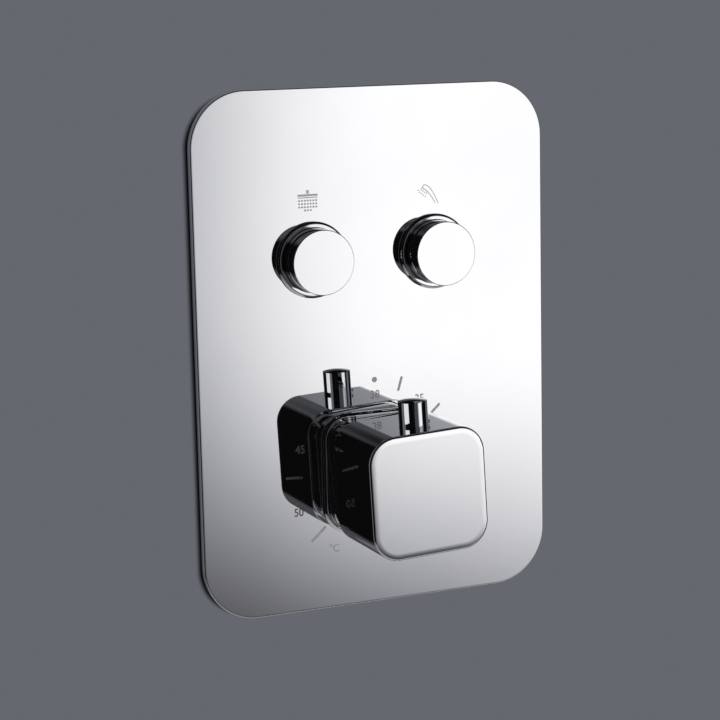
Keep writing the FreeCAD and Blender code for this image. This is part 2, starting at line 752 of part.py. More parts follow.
def make_thermostat():
    at = {"z": "-handle_drop"}
    screw_end = "flange_front + spindle_screw_length"
    spindle = fuse(rod("spindle_radius - shaft_gap", "-spindle_front", "flange_front"),
                   rod("spindle_collar_radius", "collar_place", "flange_front"),
                   rod("spindle_screw_radius", "flange_front", screw_end))
    ring_places = ("0", "nose_back")
    journal = "spindle_radius - shaft_gap"
    grooves = seal_grooves(journal, "spindle_cord", ring_places)
    on_handle("thermostat_spindle", cut(spindle, *grooves))
    on_handle("spindle_orings", group(*seal_rings(journal, "spindle_cord", ring_places)))

    outside = fuse(rod("nose_radius", "-nose_front", "nose_back"),
                   rod("shoulder_radius", "nose_back", "flange_front"),
                   rod("thermo_flange_radius", "flange_front", "flange_back"),
                   rod("thermo_radius", "flange_back", "thermo_back"))
    bearing = rod("spindle_radius", "-nose_front", "collar_place")
    collar_room = rod("spindle_collar_radius + body_gap", "collar_place - body_gap",
                      "flange_front + 1")
    chamber = rod("thermo_bore_radius", "flange_front + thermo_face_wall", "thermo_back")
    windows = []
    for place in ("hot_window", "cold_window"):
        windows.append(block(("-window_width / 2", f"{place} - window_length / 2",
                              "-thermo_radius - 1"),
                             ("window_width / 2", f"{place} + window_length / 2",
                              "thermo_radius + 1")))
    slot_reach = "thermo_bore_radius + carriage_key_height + body_gap"
    key_slot = block((f"-({slot_reach})", "carriage_front - carriage_play",
                      "-(carriage_key / 2 + body_gap)"),
                     (slot_reach, "carriage_front + carriage_length + carriage_play",
                      "carriage_key / 2 + body_gap"))
    seal_places = ("flange_back + thermo_seal_stand", "(hot_window + cold_window) / 2",
                   "thermo_back - thermo_seal_stand")
    grooves = seal_grooves("thermo_radius", "ring_cord", seal_places)
    housing = cut(outside, bearing, collar_room, chamber, key_slot, *windows, *grooves)
    node("thermostat_housing", housing, **at)
    rings = seal_rings("thermo_radius", "ring_cord", seal_places)
    node("thermostat_orings", group(*rings), **at)

    carriage_end = "carriage_front + carriage_length"
    key_reach = "thermo_bore_radius + carriage_key_height"
    carriage = cut(fuse(rod("shuttle_radius - body_gap", "carriage_front", carriage_end),
                        block((f"-({key_reach})", "carriage_front", "-carriage_key / 2"),
                              (key_reach, carriage_end, "carriage_key / 2"))),
                   rod("spindle_screw_radius + shaft_gap", "carriage_front", carriage_end))
    node("regulating_nut", carriage, **at)
    overload = coil("overload_spring_radius", carriage_end, "wax_flange_front",
                    "overload_spring_turns")
    node("overload_spring", overload, **at)

    wax = fuse(rod("wax_radius", "wax_front", "wax_front + wax_length"),
               rod("wax_flange_radius", "wax_flange_front", "wax_flange_front + wax_flange_thick"))
    node("wax_element", wax, **at)

    shuttle_end = "shuttle_front + shuttle_length"
    web_end = "shuttle_front + shuttle_web_thick"
    shuttle = cut(rod("shuttle_radius", "shuttle_front", shuttle_end),
                  rod("shuttle_radius - shuttle_wall", web_end, shuttle_end),
                  rod("wax_radius", "shuttle_front", web_end))
    holes = []
    for x, z in ((1, 0), (-1, 0), (0, 1), (0, -1)):
        holes.append(rod("shuttle_hole_radius", "shuttle_front", web_end,
                         f"{x} * (wax_radius + shuttle_hole_stand)",
                         f"{z} * (wax_radius + shuttle_hole_stand)"))
    node("mixing_shuttle", cut(shuttle, *holes), **at)

    cap_front = "thermo_back - end_cap_thick"
    spring = coil("shuttle_radius - return_spring_set_in", web_end, cap_front,
                  "return_spring_turns")
    node("return_spring", spring, **at)
    end_holes = []
    for x, z in ((1, 0), (-1, 0), (0, 1), (0, -1)):
        end_holes.append(rod("shuttle_hole_radius", cap_front, "thermo_back",
                             f"{x} * (wax_radius + end_cap_hole_stand)",
                             f"{z} * (wax_radius + end_cap_hole_stand)"))
    end_cap = cut(rod("thermo_bore_radius - shaft_gap", cap_front, "thermo_back"),
                  rod("wax_radius + seat_gap", cap_front, "thermo_back"), *end_holes)
    node("thermostat_end_cap", end_cap, **at)

    nut = fuse(rod("base_bore - seat_gap", "spigot_front", "nut_front"),
               hexagon("thermo_nut_flats", "nut_front", "body_front"),
               rod("thermo_flange_radius + shaft_gap", "body_front", "flange_front"))
    node("thermostat_nut",
         cut(nut, rod("shoulder_radius + seat_gap", "spigot_front", "flange_front")), **at)


# ----------------------------------------------------------------------------- brass body
def inlet_bar(sign, radius, near, far, depth="port_depth"):
    """A round bar along one inlet; sign is the side of the body that it is on."""
    start, end = (f"-({far})", f"-({near})") if sign < 0 else (near, far)
    return rod(radius, start, end, depth, "-handle_drop", "x")


def make_valve_body():
    drop = "-handle_drop"
    sides = ("-button_offset", "button_offset")
    solid = [rod("thermo_boss_radius", "body_front", "body_back", "0", drop),
             rod("port_boss_radius", "-inlet_stub", "inlet_stub", "port_depth", drop, "x"),
             block(("-manifold_half", "manifold_front", "-handle_drop"),
                   ("manifold_half", "body_back", "button_rise")),
             block(("-button_offset", "manifold_front", "button_rise - manifold_half"),
                   ("button_offset", "body_back", "button_rise + manifold_half"))]
    hollow = [rod("thermo_flange_radius + 2 * shaft_gap", "body_front", "flange_back", "0", drop),
              rod("thermo_radius + shaft_gap", "flange_back", "channel_depth", "0", drop),
              rod("channel_radius", "-handle_drop", "button_rise", "0", "channel_depth", "z"),
              rod("cross_channel_radius", "-button_offset", "button_offset", "channel_depth",
                  "button_rise", "x")]
    for side in sides:
        solid.append(rod("stop_boss_radius", "body_front", "body_back", side, "button_rise"))
        solid.append(rod("port_boss_radius", "button_rise", "outlet_stub", side,
                         "port_depth", "z"))
        hollow.append(rod("stop_flange_radius + 2 * shaft_gap", "body_front", "flange_back",
                          side, "button_rise"))
        hollow.append(rod("stop_radius + shaft_gap", "flange_back", "channel_depth",
                          side, "button_rise"))
        hollow.append(rod("outlet_bore_radius", "button_rise", "outlet_stub", side,
                          "port_depth", "z"))
        hollow.append(rod("union_spigot_radius + shaft_gap", "outlet_stub - union_spigot_length",
                          "outlet_stub", side, "port_depth", "z"))
    for sign, window in ((-1, "hot_window"), (1, "cold_window")):
        hollow.append(inlet_bar(sign, "feed_radius", "thermo_radius - 1", "inlet_stub", window))
        hollow.append(inlet_bar(sign, "union_spigot_radius + shaft_gap",
                                "inlet_stub - union_spigot_length", "inlet_stub"))
        hollow.append(cut(rod("thermo_radius + feed_ring_depth", f"{window} - window_length / 2",
                              f"{window} + window_length / 2", "0", drop),
                          rod("thermo_radius", f"{window} - window_length / 2",
                              f"{window} + window_length / 2", "0", drop)))
    for x in ("-screw_spacing / 2", "screw_spacing / 2"):
        solid.append(rod("screw_head_radius + screw_boss_wall",
                         "body_back - screw_boss_length", "body_back", x, "bracket_centre"))
        hollow.append(rod("screw_radius + shaft_gap", "bracket_back - screw_length - 1",
                          "body_back", x, "bracket_centre"))
    node("valve_body", cut(fuse(*solid), *hollow))


def make_outlet_union(side, x):
    """The threaded neck of one outlet."""
    neck = fuse(rod("port_boss_radius", "outlet_stub", "outlet_reach", x, "port_depth", "z"),
                rod("union_spigot_radius", "outlet_stub - union_spigot_length", "outlet_stub",
                    x, "port_depth", "z"))
    bore = rod("outlet_bore_radius", "outlet_stub - union_spigot_length", "outlet_reach",
               x, "port_depth", "z")
    thread = rod("thread_radius", "outlet_reach - thread_length", "outlet_reach",
                 x, "port_depth", "z")
    node(f"{side}_outlet_union", cut(neck, bore, thread))


# ----------------------------------------------------------------------------- inlets
def make_inlet(name, sign):
    """Check valve and strainer of one inlet; sign is the side of the body that it is on."""
    def bar(radius, near, far, depth="port_depth"):
        return inlet_bar(sign, radius, near, far, depth)

    spigot_end = "inlet_stub - union_spigot_length"
    neck = fuse(bar("port_boss_radius", "inlet_stub", "port_reach"),
                bar("union_spigot_radius", spigot_end, "inlet_stub"))
    window = "hot_window" if sign < 0 else "cold_window"
    node(f"{name}_inlet_union",
         cut(neck, bar("feed_radius", spigot_end, "check_bore_end", window),
             bar("check_bore_radius", "check_bore_end", "strainer_end"),
             bar("strainer_radius + shaft_gap", "strainer_end", "thread_end"),
             bar("thread_radius", "thread_end", "port_reach")))

    wall_end = "check_wall_end"
    outer = "check_bore_radius - shaft_gap"
    inner = "check_bore_radius - shaft_gap - check_wall"
    guide_end = "check_bore_end + check_guide_thick"
    housing = cut(bar(outer, "check_bore_end", "strainer_end"),
                  bar(inner, guide_end, wall_end),
                  bar("check_seat_radius", wall_end, "strainer_end"),
                  bar("check_stem_radius + shaft_gap", "check_bore_end", guide_end))
    holes = []
    for y, z in ((1, 0), (-1, 0), (0, 1), (0, -1)):
        hole = bar("check_stem_radius", "check_bore_end", guide_end)
        bind(hole, Placement__Base__y=f"port_depth + {y} * check_hole_stand",
             Placement__Base__z=f"-handle_drop + {z} * check_hole_stand")
        holes.append(hole)
    node(f"{name}_check_valve_housing", cut(housing, *holes))
    disc_start = f"{wall_end} - check_disc_thick"
    poppet = fuse(bar("check_disc_radius", disc_start, wall_end),
                  bar("check_stem_radius", "check_bore_end + check_travel + body_gap", disc_start))
    node(f"{name}_check_valve_poppet", poppet)
    ends = (guide_end, disc_start)
    start, end = ends if sign > 0 else (f"-({ends[1]})", f"-({ends[0]})")
    spring = coil("check_spring_radius", start, end, "check_spring_turns", "x",
                  number("port_depth"), number("-handle_drop"))
    node(f"{name}_check_valve_spring", spring)

    sieve = bar("strainer_radius", "strainer_end", "thread_end")
    step = number("strainer_hole_pitch")
    limit = number("strainer_mesh_radius - strainer_hole_radius")
    sieve_holes = []
    rings = int(number("strainer_mesh_radius") / step)
    for column in range(-rings, rings + 1):
        for line in range(-rings, rings + 1):
            if (column ** 2 + line ** 2) ** 0.5 * step > limit:
                continue
            hole = bar("strainer_hole_radius", "strainer_end", "thread_end")
            bind(hole, Placement__Base__y=f"port_depth + {column} * strainer_hole_pitch",
                 Placement__Base__z=f"-handle_drop + {line} * strainer_hole_pitch")
            sieve_holes.append(hole)
    node(f"{name}_inlet_strainer", cut(sieve, *sieve_holes))


# ----------------------------------------------------------------------------- bracket
def make_bracket():
    plate = new_body("MountingBracket")
    pad(plate, "body_back", "bracket_back", draw_rounded_square,
        "bracket_width", "bracket_height", "bracket_corner")
    for x in ("-(bracket_hole_width / 2)", "bracket_hole_width / 2"):
        for z in ("-(bracket_hole_height / 2)", "bracket_hole_height / 2"):
            pocket(plate, "body_back", "bracket_back", draw_circle, "bracket_hole_radius", x, z)
    for x in ("-screw_spacing / 2", "screw_spacing / 2"):
        pocket(plate, "body_back", "bracket_back", draw_circle, "screw_radius + seat_gap", x, "0")
    node("mounting_bracket", plate, z="bracket_centre")
    screws = []
    for x in ("-screw_spacing / 2", "screw_spacing / 2"):
        shank = rod("screw_radius", "bracket_back - screw_length", "bracket_back", x)
        head = rod("screw_head_radius", "bracket_back", "bracket_back + screw_head_thick", x)
        end = "bracket_back + screw_head_thick"
        drive = rod("screw_drive_radius", f"{end} - screw_drive_depth", end, x)
        screws.append(cut(fuse(shank, head), drive))
    node("bracket_screws", group(*screws), z="bracket_centre")


# ----------------------------------------------------------------------------- build and write
make_front_plate()
make_plate_gasket()
make_button("left", "-button_offset")
make_button("right", "button_offset")
make_handle()
make_override_button()
make_base_ring()
make_stop_ring()
make_thermostat()
make_valve_body()
make_outlet_union("left", "-button_offset")
make_outlet_union("right", "button_offset")
make_inlet("hot", -1)
make_inlet("cold", 1)
make_bracket()
document.recompute()

for thing in document.Objects:
    if "Invalid" in thing.State or "Error" in thing.State:
        raise RuntimeError(f"{thing.Name} ({thing.Label}) failed: {thing.State}")
for thing in nodes:
    if thing.Shape.isNull() or not thing.Shape.isValid():
        raise RuntimeError(f"{thing.Label} has no valid shape")

os.makedirs("parts", exist_ok=True)
for thing in nodes:
    thing.Shape.exportStep(os.path.join("parts", thing.Label + ".step"))
    print(f"{thing.Label}: {len(thing.Shape.Solids)} solid(s), {thing.Shape.Volume:.1f} mm3")
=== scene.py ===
import json
import math

import bmesh
import bpy
from mathutils import Matrix, Vector


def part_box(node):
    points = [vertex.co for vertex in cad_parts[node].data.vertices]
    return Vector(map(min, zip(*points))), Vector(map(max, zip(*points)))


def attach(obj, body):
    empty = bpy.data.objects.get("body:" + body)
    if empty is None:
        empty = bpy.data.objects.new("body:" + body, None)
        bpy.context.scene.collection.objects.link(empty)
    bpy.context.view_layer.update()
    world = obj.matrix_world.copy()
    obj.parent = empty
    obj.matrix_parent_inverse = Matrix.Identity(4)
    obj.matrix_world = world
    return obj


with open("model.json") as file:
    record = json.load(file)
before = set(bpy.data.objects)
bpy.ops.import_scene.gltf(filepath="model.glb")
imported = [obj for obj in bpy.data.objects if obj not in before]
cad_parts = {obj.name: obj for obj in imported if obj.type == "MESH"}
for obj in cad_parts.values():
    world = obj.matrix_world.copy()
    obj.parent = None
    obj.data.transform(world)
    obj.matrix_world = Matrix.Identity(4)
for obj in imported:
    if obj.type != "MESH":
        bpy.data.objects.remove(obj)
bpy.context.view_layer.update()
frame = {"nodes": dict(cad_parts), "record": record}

MM = 0.001
nodes = frame["nodes"]


# ---------------------------------------------------------------- makers
def placed(name, data):
    """An object of the data, linked to the scene."""
    made = bpy.data.objects.new(name, data)
    bpy.context.scene.collection.objects.link(made)
    return made


def finished(name, shape):
    """The mesh of a bmesh, which is freed."""
    mesh = bpy.data.meshes.new(name)
    shape.to_mesh(mesh)
    shape.free()
    return mesh


class Graph:
    """A small writer for shader nodes."""

    def __init__(self, tree):
        self.tree = tree
        tree.nodes.clear()

    def add(self, kind, **settings):
        made = self.tree.nodes.new(kind)
        for name, value in settings.items():
            setattr(made, name, value)
        return made

    def put(self, target, value):
        """Link a socket, or write a constant on it."""
        if isinstance(value, bpy.types.NodeSocket):
            self.tree.links.new(value, target)
        else:
            target.default_value = value

    def math(self, operation, first, second=0.0):
        made = self.add("ShaderNodeMath", operation=operation)
        self.put(made.inputs[0], first)
        self.put(made.inputs[1], second)
        return made.outputs[0]

    def split(self, vector):
        """The x, y and z of a vector."""
        made = self.add("ShaderNodeSeparateXYZ")
        self.put(made.inputs[0], vector)
        return tuple(made.outputs)

    def ramp(self, value, low, high, start=0.0, end=1.0):
        """A smooth step from start to end as the value goes from low to high."""
        made = self.add("ShaderNodeMapRange", interpolation_type="SMOOTHSTEP")
        for socket, number in zip(made.inputs[:5], (value, low, high, start, end)):
            self.put(socket, number)
        return made.outputs[0]

    def noise(self, vector, scale, detail=2.0, roughness=0.5):
        made = self.add("ShaderNodeTexNoise")
        self.put(made.inputs["Vector"], vector)
        made.inputs["Scale"].default_value = scale
        made.inputs["Detail"].default_value = detail
        made.inputs["Roughness"].default_value = roughness
        return made.outputs[0]

    def colours(self, value, low, high):
        made = self.add("ShaderNodeMix", data_type="RGBA")
        self.put(made.inputs["Factor"], value)
        made.inputs["A"].default_value = (*low, 1.0)
        made.inputs["B"].default_value = (*high, 1.0)
        return made.outputs["Result"]

    def relief(self, height, distance):
        """The normals of a height; the distance is the height's unit in metres."""
        made = self.add("ShaderNodeBump")
        made.inputs["Strength"].default_value = 1.0
        made.inputs["Distance"].default_value = distance
        self.put(made.inputs["Height"], height)
        return made.outputs[0]


def outline_distance(graph, sides, half, corner):
    """The distance out from a rectangle with round corners, given two offsets from its middle."""
    reach = [graph.math("MAXIMUM", graph.math("SUBTRACT", graph.math("ABSOLUTE", side),
                                              extent - corner), 0.0)
             for side, extent in zip(sides, half)]
    squares = [graph.math("MULTIPLY", side, side) for side in reach]
    return graph.math("SUBTRACT", graph.math("SQRT", graph.math("ADD", *squares)), corner)


def rolled_rim(graph, place, centre, half, corner, lean, width, slope):
    """How far a polished face has sunk near its round-cornered outline, in metres.

    centre and half give the outline across x and z, lean its turn in degrees, width how far in
    the polishing reaches, and slope how steep the face is at its edge.
    """
    x, _, z = graph.split(place)
    turn = math.radians(lean)
    across = graph.math("SUBTRACT", x, centre[0])
    along = graph.math("SUBTRACT", z, centre[1])
    sides = []
    for first, second in ((math.cos(turn), math.sin(turn)), (-math.sin(turn), math.cos(turn))):
        sides.append(graph.math("ADD", graph.math("MULTIPLY", across, first),
                                graph.math("MULTIPLY", along, second)))
    inside = outline_distance(graph, sides, half, corner)
    depth = graph.math("MAXIMUM", graph.math("ADD", inside, width), 0.0)
    return graph.math("MULTIPLY", graph.math("MULTIPLY", depth, depth), -slope / (2 * width))


# ---------------------------------------------------------------- materials
NOISE_SPAN = (0.3, 0.7)     # the part of a noise's range that most of it lies in
WEAR_FINENESS = 2.7         # how much finer the wear is than the mottling


def material(name, low, high, scale, rough, bump=0.0, bump_scale=0.0, stretch=(1, 1, 1), rim=None,
             **fixed):
    """A surface with colour, roughness and relief that vary over it.

    low and high are its darkest and lightest colour, rough its least and most roughness, and bump
    the height of its relief in metres.  Scales are per metre.  rim has the terms of rolled_rim, for
    a face with a polished rim, and fixed holds other settings of the shader.
    """
    made = bpy.data.materials.new(name)
    made.use_nodes = True
    graph = Graph(made.node_tree)
    output = graph.add("ShaderNodeOutputMaterial")
    shader = graph.add("ShaderNodeBsdfPrincipled")
    graph.put(output.inputs["Surface"], shader.outputs[0])
    place = graph.add("ShaderNodeTexCoord").outputs["Object"]
    mapping = graph.add("ShaderNodeMapping")
    graph.put(mapping.inputs["Vector"], place)
    mapping.inputs["Scale"].default_value = stretch
    grain = mapping.outputs[0]
    mottling = graph.noise(grain, scale, detail=4.0)
    wear = graph.noise(grain, scale * WEAR_FINENESS, detail=3.0)
    graph.put(shader.inputs["Base Color"],
              graph.colours(graph.ramp(mottling, *NOISE_SPAN), low, high))
    graph.put(shader.inputs["Roughness"], graph.ramp(wear, *NOISE_SPAN, *rough))
    for socket, value in fixed.items():
        shader.inputs[socket.replace("_", " ")].default_value = value
    if rim:
        graph.put(shader.inputs["Normal"], graph.relief(rolled_rim(graph, place, **rim), 1.0))
    elif bump:
        height = graph.noise(grain, bump_scale, detail=3.0, roughness=0.6)
        graph.put(shader.inputs["Normal"], graph.relief(height, bump))
    return made


METAL = {"Metallic": 1.0}
CHROME = ((0.93, 0.935, 0.945), (0.955, 0.96, 0.968), 22.0, (0.012, 0.03))
MATERIALS = {
    "mirror_chrome": material("MirrorChrome", *CHROME, **METAL),
    "override_chrome": material("PegChrome", (0.80, 0.81, 0.83), (0.86, 0.87, 0.89), 60.0,
                                (0.02, 0.05), **METAL),
    "foam": material("Foam", (0.012, 0.012, 0.014), (0.035, 0.035, 0.038), 400.0,
                     (0.8, 0.95), bump=0.0003, bump_scale=900.0),
    "black_rubber": material("BlackRubber", (0.012, 0.012, 0.012), (0.028, 0.028, 0.028), 150.0,
                             (0.45, 0.7), bump=0.00004, bump_scale=2500.0),
    "brass": material("Brass", (0.60, 0.42, 0.17), (0.75, 0.57, 0.27), 70.0,
                      (0.28, 0.45), bump=0.00012, bump_scale=700.0, **METAL),
    "steel": material("ZincSteel", (0.50, 0.51, 0.52), (0.66, 0.67, 0.69), 120.0,
                      (0.25, 0.42), bump=0.00003, bump_scale=1800.0, **METAL),
    "spring_steel": material("BrightWire", (0.55, 0.56, 0.58), (0.72, 0.73, 0.75), 300.0,
                             (0.15, 0.3), **METAL),
    "white_plastic": material("WhitePlastic", (0.70, 0.70, 0.67), (0.80, 0.80, 0.77), 90.0,
                              (0.35, 0.5), bump=0.00002, bump_scale=3000.0),
    "grey_plastic": material("GreyPlastic", (0.06, 0.063, 0.068), (0.095, 0.098, 0.105), 90.0,
                             (0.35, 0.5), bump=0.00002, bump_scale=3000.0),
    "copper": material("DrawnCopper", (0.60, 0.26, 0.14), (0.74, 0.36, 0.22), 200.0,
                       (0.22, 0.4), bump=0.00002, bump_scale=1500.0, stretch=(1, 0.1, 1),
                       **METAL),
}

# The dial's glossy inks: its fineness in the noise, and how rough it is.
INK = (900.0, (0.2, 0.3))
PRINT = material("GreyPrint", (0.36, 0.36, 0.365), (0.46, 0.46, 0.465), *INK, Metallic=0.92)
PALE_PRINT = material("PaleGreyPrint", (0.45, 0.45, 0.455), (0.55, 0.55, 0.555), *INK,
                      Metallic=0.92)
FADED_PRINT = material("FadedGreyPrint", (0.66, 0.66, 0.67), (0.76, 0.76, 0.77), *INK,
                       Metallic=0.95)

# The two faces with a polished rim.  Lengths in millimetres, the lean in degrees.
PLATE_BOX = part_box("front_plate")
PLATE_CORNER = 23.0
PLATE_RIM_WIDTH, PLATE_RIM_SLOPE = 1.0, 0.05
HANDLE_DROP = -50.8
HANDLE_SIDE = 50.0
HANDLE_CORNER = 11.0
HANDLE_LEAN = 2.7
HANDLE_RIM_WIDTH, HANDLE_RIM_SLOPE = 3.0, 0.07
RIMMED = {
    "front_plate": material("PlateChrome", *CHROME, **METAL, rim={
        "centre": (0.0, 0.0), "half": (PLATE_BOX[1].x, PLATE_BOX[1].z),
        "corner": PLATE_CORNER * MM, "lean": 0.0, "width": PLATE_RIM_WIDTH * MM,
        "slope": PLATE_RIM_SLOPE}),
    "handle_body": material("HandleChrome", *CHROME, **METAL, rim={
        "centre": (0.0, HANDLE_DROP * MM), "half": (HANDLE_SIDE / 2 * MM, HANDLE_SIDE / 2 * MM),
        "corner": HANDLE_CORNER * MM, "lean": HANDLE_LEAN, "width": HANDLE_RIM_WIDTH * MM,
        "slope": HANDLE_RIM_SLOPE}),
}

for subpart in frame["record"]["subparts"]:
    shown = nodes[subpart["node"]]
    shown.data.materials.clear()
    shown.data.materials.append(RIMMED.get(subpart["node"])
                                or MATERIALS[subpart["material_slot"]])


# ---------------------------------------------------------------- printed marks
# Places on the plate are x and z in millimetres from its middle, and so are widths and heights.
PLATE_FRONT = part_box("front_plate")[0].y
PRINT_THICK = 0.03 * MM
ROUND_STEPS = 10            # steps round a stroke's end and along a curved stroke


def printed(name, mesh, paint):
    """A thin printed mark on the front of the plate."""
    mark = placed(name, mesh)
    mesh.materials.clear()
    mesh.materials.append(paint)
    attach(mark, "valve")


def capsule(start, end, width):
    """The outline of a round-ended stroke between two points."""
    run = Vector(end) - Vector(start)
    lean = math.atan2(run.y, run.x)
    outline = []
    for centre, first in ((start, lean + math.pi / 2), (end, lean - math.pi / 2)):
        for step in range(ROUND_STEPS + 1):
            angle = first + math.pi * step / ROUND_STEPS
            outline.append((centre[0] + width / 2 * math.cos(angle),
                            centre[1] + width / 2 * math.sin(angle)))
    return outline


def raise_outline(shape, outline):
    """Give the shape a solid of the print's thickness that stands on the plate."""
    front = [shape.verts.new((x * MM, PLATE_FRONT - PRINT_THICK, z * MM)) for x, z in outline]
    back = [shape.verts.new((x * MM, PLATE_FRONT, z * MM)) for x, z in outline]
    shape.faces.new(front)
    shape.faces.new(back[::-1])
    for index in range(len(front)):
        following = (index + 1) % len(front)
        shape.faces.new((front[following], front[index], back[index], back[following]))


def strokes(name, lines, paint):
    """One mark made of round-ended strokes, each a start, an end and a width."""
    shape = bmesh.new()
    for line in lines:
        raise_outline(shape, capsule(*line))
    bmesh.ops.recalc_face_normals(shape, faces=shape.faces)
    printed(name, finished(name, shape), paint)


FIGURE_HEIGHT = 3.5
FIGURE_NARROWING = 0.9
FIGURE_BOLD = 0.018         # how much fatter than the font, in its own units
FIGURE_EXTRUDE = 0.01       # half the depth of the raised text, in the same units


def figures(name, text, centre, paint):
    """Upright dial figures, set from the default font, round a middle point."""
    curve = bpy.data.curves.new(name, "FONT")
    curve.body = text
    curve.align_x = "CENTER"
    curve.extrude = FIGURE_EXTRUDE
    curve.offset = FIGURE_BOLD
    curve.resolution_u = 6
    holder = placed(name, curve)
    bpy.context.view_layer.update()
    graph = bpy.context.evaluated_depsgraph_get()
    mesh = bpy.data.meshes.new_from_object(holder.evaluated_get(graph))
    bpy.data.objects.remove(holder)
    low = Vector([min(v.co[axis] for v in mesh.vertices) for axis in range(3)])
    high = Vector([max(v.co[axis] for v in mesh.vertices) for axis in range(3)])
    size = FIGURE_HEIGHT * MM / (high.y - low.y)
    upright = Matrix.Rotation(math.radians(90), 4, "X")
    place = Matrix.Translation((centre[0] * MM, PLATE_FRONT - PRINT_THICK / 2, centre[1] * MM))
    flat = Matrix.Diagonal((size * FIGURE_NARROWING, size, PRINT_THICK / (2 * FIGURE_EXTRUDE),
                            1.0))
    mesh.transform(place @ upright @ flat @ Matrix.Translation(-(low + high) / 2))
    printed(name, mesh, paint)


TICK = 1.1
DOT = 2.3
strokes("dial_ticks", [
    ((11.37, -13.20), (9.81, -18.25), TICK),
    ((28.35, -26.15), (24.82, -29.34), TICK),
    ((-29.06, -25.87), (-25.87, -30.15), TICK),
    ((-40.66, -50.31), (-34.39, -50.72), TICK),
    ((39.5, -50.6), (34.2, -50.7), TICK),
    ((29.3, -77.2), (25.6, -73.6), TICK),
], PRINT)
strokes("dial_low_tick", [((-24.56, -72.88), (-30.28, -77.91), TICK)], FADED_PRINT)
strokes("dial_dot", [((-0.93, -12.95), (-0.91, -12.95), DOT)], PRINT)
for name, text, centre, paint in (
        ("dial_38", "38", (-0.7, -19.1), PRINT),
        ("dial_35", "35", (19.4, -22.6), PRINT),
        ("dial_30", "30", (34.6, -38.4), PRINT),
        ("dial_25", "25", (34.0, -64.6), PRINT),
        ("dial_45", "45", (-34.7, -38.9), PRINT),
        ("dial_50", "50", (-35.9, -65.15), PRINT),
        ("dial_celsius", "°C", (-20.55, -82.12), FADED_PRINT)):
    figures(name, text, centre, paint)


def rain_marks():
    """An overhead shower: a stem of short strokes, a rose of two lines, and rows of drops."""
    middle = -28.5
    stem, stem_half, stem_line = (66.6, 66.1, 65.6), 0.5, 0.42
    rose = ((64.75, 4.0, 0.85), (63.8, 4.1, 0.4))       # height, half length, line width
    top_row, row_step, column_step, drop = 62.6, 1.3, 1.23, 0.85
    drop_half = 0.02
    lines = [((middle - half, z), (middle + half, z), width)
             for z, half, width in (*rose, *((z, stem_half, stem_line) for z in stem))]
    for row, count in enumerate((7, 7, 7, 3)):
        for column in range(count):
            x = middle + (column - (count - 1) / 2) * column_step
            z = top_row - row * row_step
            lines.append(((x - drop_half, z), (x + drop_half, z), drop))
    return lines


def curved(points, width):
    """Short strokes along a quadratic curve with three control points."""
    first, bend, last = (Vector(point) for point in points)
    places = []
    for step in range(ROUND_STEPS + 1):
        share = step / ROUND_STEPS
        places.append(first.lerp(bend, share).lerp(bend.lerp(last, share), share))
    return [(tuple(near), tuple(far), width) for near, far in zip(places, places[1:])]


def hand_shower_marks():
    """A hand shower held at a slant: a curved handle drawn in outline, its head and the spray."""
    line, drop = 0.3, 0.42
    near, far = 0.7, 0.3    # how far the two strokes of each jet reach towards its middle
    lines = curved([(22.95, 66.1), (25.9, 66.6), (29.35, 58.3)], line)
    lines += curved([(22.25, 65.1), (25.3, 63.4), (28.05, 58.5)], line)
    lines.append(((22.95, 66.1), (22.25, 65.1), line))
    for start, end in (((22.2, 64.7), (20.4, 64.0)), ((22.4, 64.2), (20.9, 63.1)),
                       ((23.0, 63.8), (21.7, 62.5)), ((23.6, 63.3), (22.6, 61.8)),
                       ((24.3, 62.9), (23.5, 61.2))):
        middle = Vector(start).lerp(Vector(end), 0.5)
        lines.append((start, tuple(Vector(start).lerp(middle, near)), line))
        lines.append((tuple(Vector(end).lerp(middle, far)), end, drop))
    return lines


strokes("rain_mark", rain_marks(), PALE_PRINT)
strokes("hand_shower_mark", hand_shower_marks(), PALE_PRINT)


# ---------------------------------------------------------------- floor and wall
BACKDROP = (0.1301, 0.1384, 0.1589)     # the photograph's grey, as linear light
FLOOR_RADIUS, FLOOR_HEIGHT = 1.6, -0.9  # in metres
WALL_HALF = 1.6                         # in metres
WALL_DEPTH = 0.05                       # how far behind the wall's face; this and the rest in mm
HOLE_INSET = 8                          # how far inside the gasket's edge the wall's hole is
# The next five set the plate's shadow that is painted into the wall's glow, in mm.
SHADE_SHIFT = (-0.7, -0.3)              # how far the plate's shade lies left and down
SHADE_TRIM = 1.6                        # how much less high than the gasket it is
SHADE_CORNER = 19.5
SHADE_REACH = (0.4, 3.0)                # where it begins to fade, and where it ends
SHADE_DARK = 0.012
WALL_GRAIN = 900.0                      # the scale of its slight unevenness, per metre
WALL_GRAIN_SPAN = (0.99, 1.01)


def floor():
    shape = bmesh.new()
    bmesh.ops.create_circle(shape, cap_ends=True, radius=FLOOR_RADIUS, segments=96)
    mesh = finished("Floor", shape)
    mesh.materials.append(material("PaleFloor", (0.52, 0.52, 0.53), (0.56, 0.56, 0.57), 3.0,
                                   (0.7, 0.8)))
    ground = placed("Floor", mesh)
    ground.location = (0.0, 0.0, FLOOR_HEIGHT)


